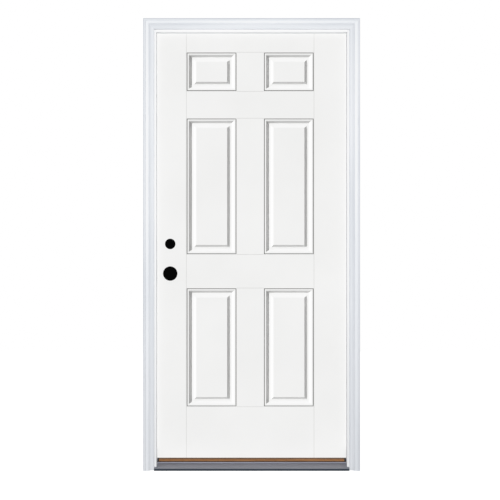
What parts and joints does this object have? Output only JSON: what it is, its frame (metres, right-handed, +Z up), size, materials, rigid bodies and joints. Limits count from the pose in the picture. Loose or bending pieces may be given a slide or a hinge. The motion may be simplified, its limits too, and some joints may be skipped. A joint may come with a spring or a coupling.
{
  "type": "prehung front door",
  "caption": "White panelled inswing front door hung in its own rabbeted frame with brickmould, weatherstrip and an adjustable oak-capped sill, bored for a lock and a deadbolt.",
  "frame": {"origin": "middle of the sill's underside, in the plane of the jambs' outdoor edges", "axes": "+X towards the hinge jamb as seen from outdoors, +Y indoors, +Z up"},
  "size_m": [1.0096, 0.1666, 2.1034],
  "materials": {
    "white_skin": "satin",
    "core_foam": "matte",
    "core_wood": "satin",
    "sweep_vinyl": "matte",
    "black_plug": "matte",
    "primed_jamb": "satin",
    "primed_mould": "satin",
    "sill_composite": "matte",
    "mill_aluminium": "satin",
    "seal_foam": "matte",
    "pad_foam": "matte",
    "hinge_steel": "satin",
    "screw_steel": "satin",
    "oak": "satin"
  },
  "bodies": {
    "frame": {"hinge_jamb": "primed_jamb", "strike_jamb": "primed_jamb", "head_jamb": "primed_jamb", "brickmould_left": "primed_mould", "brickmould_right": "primed_mould", "brickmould_head": "primed_mould", "sill_substrate": "sill_composite", "sill_deck": "mill_aluminium", "riser_seal": "sweep_vinyl", "weatherstrip_hinge_side": "seal_foam", "weatherstrip_strike_side": "seal_foam", "weatherstrip_head": "seal_foam", "corner_pad_hinge_side": "pad_foam", "corner_pad_strike_side": "pad_foam", "jamb_hinge_screws": "hinge_steel", "sill_screws": "screw_steel", "head_screws": "screw_steel", "top_hinge_jamb_leaf": "hinge_steel", "top_hinge_pin": "hinge_steel", "middle_hinge_jamb_leaf": "hinge_steel", "middle_hinge_pin": "hinge_steel", "bottom_hinge_jamb_leaf": "hinge_steel", "bottom_hinge_pin": "hinge_steel"},
    "door": {"exterior_skin": "white_skin", "interior_skin": "white_skin", "foam_core": "core_foam", "lock_stile": "core_wood", "hinge_stile": "core_wood", "top_rail": "core_wood", "bottom_rail": "core_wood", "lock_block": "core_wood", "door_sweep": "sweep_vinyl", "lock_bore_plug": "black_plug", "deadbolt_bore_plug": "black_plug", "door_hinge_screws": "hinge_steel", "top_hinge_door_leaf": "hinge_steel", "middle_hinge_door_leaf": "hinge_steel", "bottom_hinge_door_leaf": "hinge_steel"},
    "sill_cap": {"sill_cap": "oak", "cap_end_pad_hinge_side": "pad_foam", "cap_end_pad_strike_side": "pad_foam"},
    "adjusting_screw_1": {"cap_adjusting_screw_1": "screw_steel"},
    "adjusting_screw_2": {"cap_adjusting_screw_2": "screw_steel"},
    "adjusting_screw_3": {"cap_adjusting_screw_3": "screw_steel"},
    "adjusting_screw_4": {"cap_adjusting_screw_4": "screw_steel"}
  },
  "joints": [
    {"name": "door_swing", "type": "hinge", "parent": "frame", "child": "door", "pos_m": [0.4556, 0.1286, 1], "axis": [0, 0, -1], "range_deg": [0, 180]},
    {"name": "sill_cap_adjust", "type": "slide", "parent": "frame", "child": "sill_cap", "axis": [0, 0, 1], "range_m": [-0.003, 0]},
    {"name": "adjusting_screw_1_turn", "type": "hinge", "parent": "sill_cap", "child": "adjusting_screw_1", "pos_m": [-0.36582, 0.08417, 0.03], "axis": [0, 0, 1], "range_deg": [-432, 0]},
    {"name": "adjusting_screw_2_turn", "type": "hinge", "parent": "sill_cap", "child": "adjusting_screw_2", "pos_m": [-0.12194, 0.08417, 0.03], "axis": [0, 0, 1], "range_deg": [-432, 0]},
    {"name": "adjusting_screw_3_turn", "type": "hinge", "parent": "sill_cap", "child": "adjusting_screw_3", "pos_m": [0.12194, 0.08417, 0.03], "axis": [0, 0, 1], "range_deg": [-432, 0]},
    {"name": "adjusting_screw_4_turn", "type": "hinge", "parent": "sill_cap", "child": "adjusting_screw_4", "pos_m": [0.36582, 0.08417, 0.03], "axis": [0, 0, 1], "range_deg": [-432, 0]}
  ],
  "couplings": [
    {"joint": "adjusting_screw_1_turn", "follows": "sill_cap_adjust", "rad_per_m": 2513.3},
    {"joint": "adjusting_screw_2_turn", "follows": "sill_cap_adjust", "rad_per_m": 2513.3},
    {"joint": "adjusting_screw_3_turn", "follows": "sill_cap_adjust", "rad_per_m": 2513.3},
    {"joint": "adjusting_screw_4_turn", "follows": "sill_cap_adjust", "rad_per_m": 2513.3}
  ]
}
